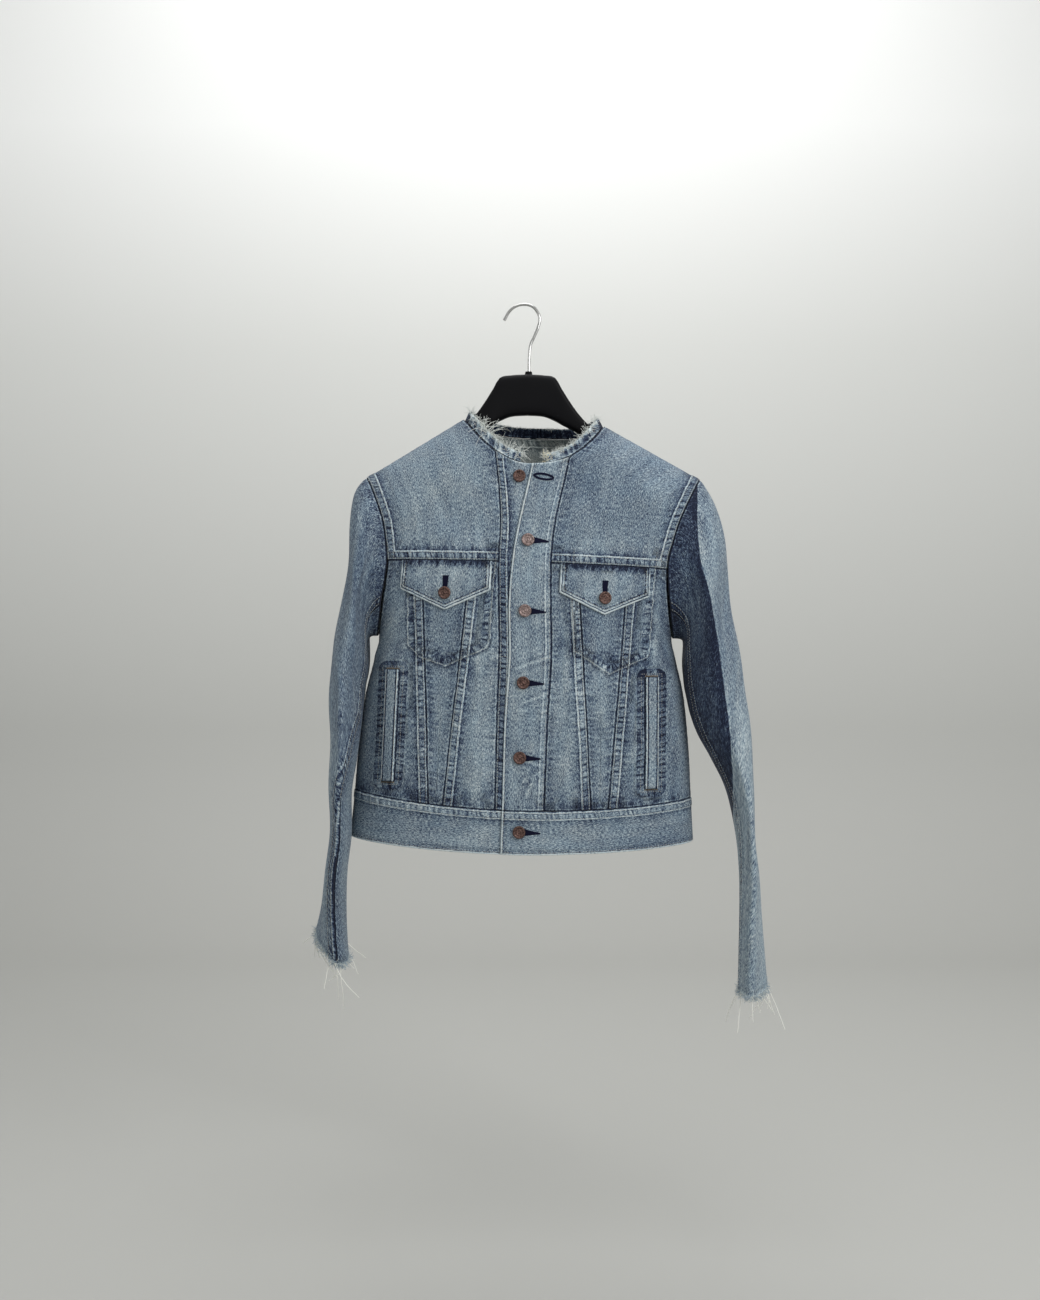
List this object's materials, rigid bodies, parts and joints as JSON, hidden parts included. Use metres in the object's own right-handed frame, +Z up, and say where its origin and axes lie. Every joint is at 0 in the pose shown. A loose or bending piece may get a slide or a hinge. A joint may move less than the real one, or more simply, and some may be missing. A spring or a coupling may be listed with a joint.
{
  "type": "denim jacket on a hanger",
  "caption": "Cropped denim jacket with chest flap pockets, raw neck and raw cuffs, buttoned and hung on a broad hanger.",
  "frame": {"origin": "inside of the crown of the hanger's hook, where a rail bears", "axes": "+Z up as it hangs, the front faces -Y, the wearer's left side lies at +X"},
  "size_m": [0.5565, 0.1682, 0.8764],
  "materials": {
    "denim": "washed blue cotton twill",
    "denim_threads": "frayed cotton threads",
    "copper": "aged copper shank buttons",
    "black_plastic": "satin moulded plastic",
    "steel": "plated wire"
  },
  "bodies": {
    "root": {"back_panel": "denim", "back_yoke": "denim", "button_1": "copper", "button_2": "copper", "button_3": "copper", "button_4": "copper", "button_5": "copper", "button_6": "copper", "cuff_fringe_left": "denim_threads", "cuff_fringe_right": "denim_threads", "flap_button_left": "copper", "flap_button_right": "copper", "front_centre_left": "denim", "front_centre_right": "denim", "front_side_left": "denim", "front_side_right": "denim", "front_v_left": "denim", "front_v_right": "denim", "front_yoke_left": "denim", "front_yoke_right": "denim", "hanger": "black_plastic", "hook": "steel", "neck_fringe": "denim_threads", "neckband": "denim", "placket": "denim", "pocket_flap_left": "denim", "pocket_flap_right": "denim", "sleeve_top_left": "denim", "sleeve_top_right": "denim", "sleeve_under_left": "denim", "sleeve_under_right": "denim", "under_band": "denim", "waistband": "denim", "welt_pocket_left": "denim", "welt_pocket_right": "denim"}
  },
  "joints": []
}
